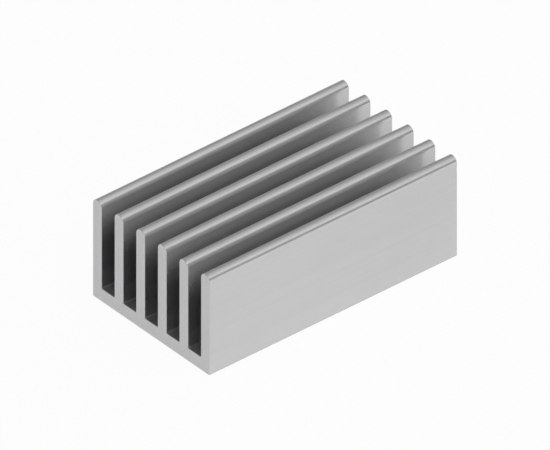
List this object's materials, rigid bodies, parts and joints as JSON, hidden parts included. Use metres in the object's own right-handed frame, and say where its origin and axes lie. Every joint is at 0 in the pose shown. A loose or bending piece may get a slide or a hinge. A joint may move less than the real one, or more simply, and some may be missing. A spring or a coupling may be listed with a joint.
{
  "type": "extruded heat sink",
  "caption": "Aluminium extrusion with straight round-tipped cooling fins standing on a flat base that rests against a hot component.",
  "frame": {"origin": "centre of the flat underside of the base", "axes": "+Z from the base to the fin tips, +Y along the extrusion, +X across the fins"},
  "size_m": [0.0282, 0.05, 0.0186],
  "materials": {
    "aluminium": "matte as-extruded mill finish with faint lines along the length, saw-cut ends"
  },
  "bodies": {
    "root": {"heat_sink": "aluminium"}
  },
  "joints": []
}
